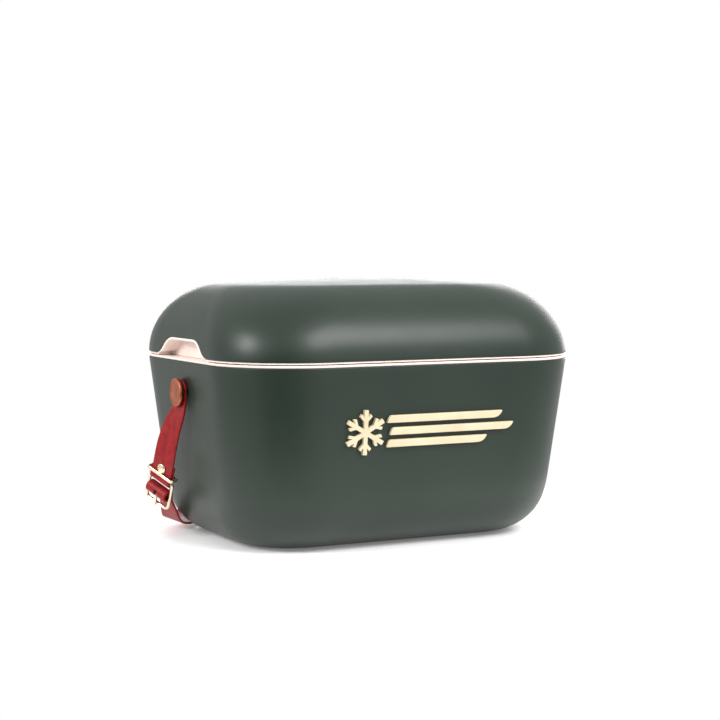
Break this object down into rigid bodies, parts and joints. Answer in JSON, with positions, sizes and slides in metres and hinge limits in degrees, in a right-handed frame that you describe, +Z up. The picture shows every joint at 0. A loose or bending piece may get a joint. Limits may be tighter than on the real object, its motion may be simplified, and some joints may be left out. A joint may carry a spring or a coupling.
{
  "type": "hard cooler box",
  "caption": "Portable insulated cooler box with a tapered round-edged tub, a domed lift-off lid, a pale liner and a buckled leather carry strap.",
  "frame": {"origin": "middle of the tub's flat base, on the surface that the box stands on", "axes": "+X along the box's length towards the right knob, -Y out of the front with the badge, +Z up"},
  "size_m": [0.4203, 0.3108, 0.2551],
  "materials": {
    "green_plastic": "satin moulded plastic",
    "pink_plastic": "smooth moulded plastic",
    "foam": "rigid foam",
    "red_leather": "smooth dyed leather",
    "brass": "polished pale brass",
    "copper": "satin copper",
    "steel": "zinc-plated",
    "cream_plastic": "satin cream"
  },
  "bodies": {
    "tub": {"tub_shell": "green_plastic", "tub_foam": "foam", "tub_liner": "pink_plastic", "left_knob_cap": "copper", "left_knob_sleeve": "brass", "left_knob_washer": "steel", "left_knob_nut": "steel", "right_knob_cap": "copper", "right_knob_sleeve": "brass", "right_knob_washer": "steel", "right_knob_nut": "steel", "badge_crystal": "cream_plastic", "badge_bar_upper": "cream_plastic", "badge_bar_middle": "cream_plastic", "badge_bar_lower": "cream_plastic"},
    "lid": {"lid_shell": "green_plastic", "lid_foam": "foam", "lid_liner": "pink_plastic"},
    "strap": {"short_strap": "red_leather", "long_strap": "red_leather", "buckle_frame": "brass", "strap_keeper": "brass", "rivet_screw": "brass", "rivet_post": "brass"},
    "prong": {"buckle_prong": "brass"}
  },
  "joints": [
    {"name": "lid_lift", "type": "slide", "parent": "tub", "child": "lid", "axis": [0, 0, 1], "range_m": [0, 0.09]},
    {"name": "strap_swing", "type": "hinge", "parent": "tub", "child": "strap", "pos_m": [0, 0, 0.1465], "axis": [1, 0, 0], "range_deg": [0, 250]},
    {"name": "prong_turn", "type": "hinge", "parent": "strap", "child": "prong", "pos_m": [-0.2009, 0.03236, 0.04783], "axis": [-0.4197, 0.7995, 0.4297], "range_deg": [0, 70]}
  ]
}
